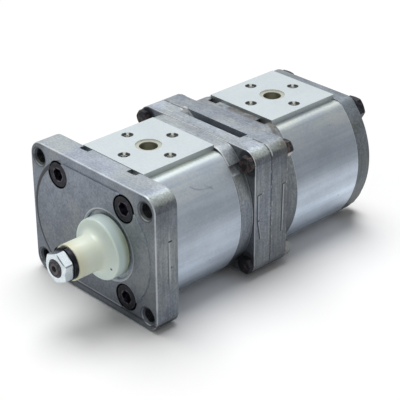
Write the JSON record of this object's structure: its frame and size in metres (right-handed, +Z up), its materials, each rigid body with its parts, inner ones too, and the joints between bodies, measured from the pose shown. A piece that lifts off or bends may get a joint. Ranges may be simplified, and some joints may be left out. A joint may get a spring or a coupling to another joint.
{
  "type": "tandem gear pump",
  "caption": "Two external gear pumps bolted in line behind a rectangular flange, with a tapered drive shaft under a shipping cap and flanged ports on top and bottom.",
  "frame": {"origin": "centre of the four mounting holes, on the flange's back face, where the heads of the mounting screws bear and the front body starts", "axes": "+Y from the shaft end to the rear, parallel to both shafts; +X to the right seen from the shaft end, towards the drive shaft; +Z up, out of the pressure ports"},
  "size_m": [0.117, 0.2498, 0.092],
  "materials": {
    "cast_aluminium": "as-cast, satin",
    "extruded_aluminium": "drawn, satin",
    "bearing_aluminium": "machined",
    "gear_steel": "ground, darkened at the thread",
    "black_steel": "black oxide",
    "rusty_steel": "dark with rust",
    "zinc_steel": "zinc plated",
    "spring_steel": "black",
    "sleeve_bronze": "lined bearing sleeve",
    "seal_rubber": "matt",
    "cap_plastic": "translucent moulded"
  },
  "bodies": {
    "housing": {"front_flange_cover": "cast_aluminium", "front_body": "extruded_aluminium", "front_end_cover": "cast_aluminium", "rear_mount_cover": "cast_aluminium", "rear_body": "extruded_aluminium", "rear_end_cover": "cast_aluminium", "front_bearing_block_fore": "bearing_aluminium", "front_bearing_block_aft": "bearing_aluminium", "rear_bearing_block_fore": "bearing_aluminium", "rear_bearing_block_aft": "bearing_aluminium", "front_bearing_sleeves": "sleeve_bronze", "rear_bearing_sleeves": "sleeve_bronze", "front_axial_seals": "seal_rubber", "rear_axial_seals": "seal_rubber", "front_body_seals": "seal_rubber", "rear_body_seals": "seal_rubber", "shaft_seal": "seal_rubber", "seal_retaining_ring": "spring_steel", "coupling_shaft_seals": "seal_rubber", "front_dowels": "gear_steel", "rear_dowels": "gear_steel", "front_cover_screws": "black_steel", "rear_cover_bolts": "black_steel", "rear_cover_washers": "black_steel", "joining_bolts": "rusty_steel", "joining_nuts": "rusty_steel"},
    "drive_line": {"drive_shaft": "gear_steel", "shaft_key": "gear_steel", "protective_cap": "cap_plastic", "lock_washer": "spring_steel", "shaft_nut": "zinc_steel", "shaft_coupling": "gear_steel"},
    "front_driven": {"front_driven_gear": "gear_steel"},
    "rear_drive": {"rear_drive_gear": "gear_steel"},
    "rear_driven": {"rear_driven_gear": "gear_steel"}
  },
  "joints": [
    {"name": "drive_shaft_spin", "type": "hinge", "parent": "housing", "child": "drive_line", "pos_m": [0.0155, 0, 0], "axis": [0, 1, 0], "continuous": true},
    {"name": "front_driven_spin", "type": "hinge", "parent": "housing", "child": "front_driven", "pos_m": [-0.0155, 0.02905, 0], "axis": [0, 1, 0], "continuous": true},
    {"name": "rear_drive_spin", "type": "hinge", "parent": "housing", "child": "rear_drive", "pos_m": [0.0155, 0.13915, 0], "axis": [0, 1, 0], "continuous": true},
    {"name": "rear_driven_spin", "type": "hinge", "parent": "housing", "child": "rear_driven", "pos_m": [-0.0155, 0.13915, 0], "axis": [0, 1, 0], "continuous": true}
  ],
  "couplings": [
    {"joint": "front_driven_spin", "follows": "drive_shaft_spin", "ratio": -1},
    {"joint": "rear_drive_spin", "follows": "drive_shaft_spin", "ratio": 1},
    {"joint": "rear_driven_spin", "follows": "drive_shaft_spin", "ratio": -1}
  ]
}
